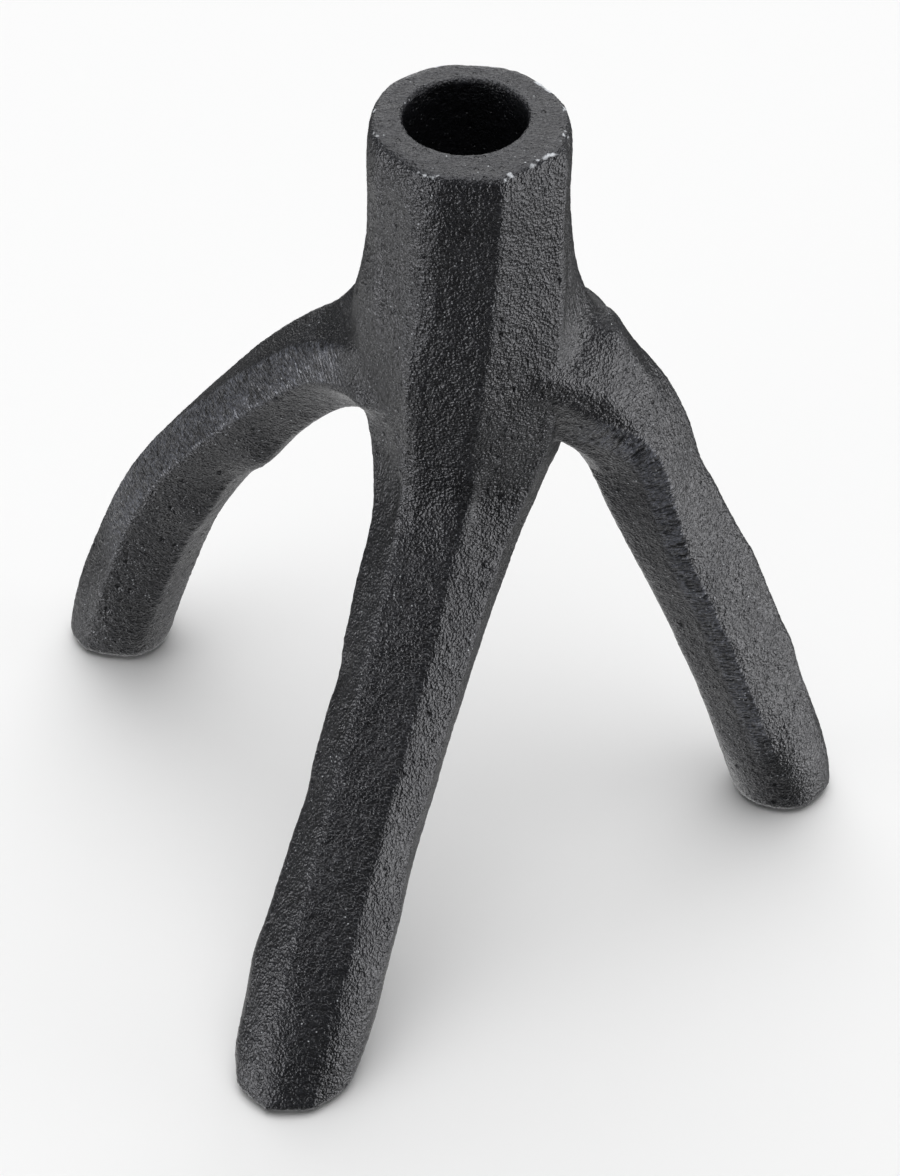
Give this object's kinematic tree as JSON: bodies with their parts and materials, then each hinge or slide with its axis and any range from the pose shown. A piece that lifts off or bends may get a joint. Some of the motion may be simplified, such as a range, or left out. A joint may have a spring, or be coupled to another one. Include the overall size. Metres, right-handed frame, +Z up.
{
  "type": "tabletop candle holder",
  "caption": "Faceted, branch-like cast candle holder: an upright neck with a round socket for a dinner candle, standing on bent, spreading legs with felt pads under the feet.",
  "frame": {"origin": "middle of the holder's footprint, on the surface it stands on", "axes": "+Z up, along the candle socket; the front leg points towards -Y and a little towards -X; the right leg points towards +X"},
  "size_m": [0.1605, 0.1464, 0.171],
  "materials": {
    "casting": "matt black coat over a rough, pitted sand casting, with ground bands on the side legs",
    "felt": "dense black felt"
  },
  "bodies": {
    "root": {"neck": "casting", "front_leg": "casting", "left_leg": "casting", "right_leg": "casting", "front_foot_pad": "felt", "left_foot_pad": "felt", "right_foot_pad": "felt"}
  },
  "joints": []
}
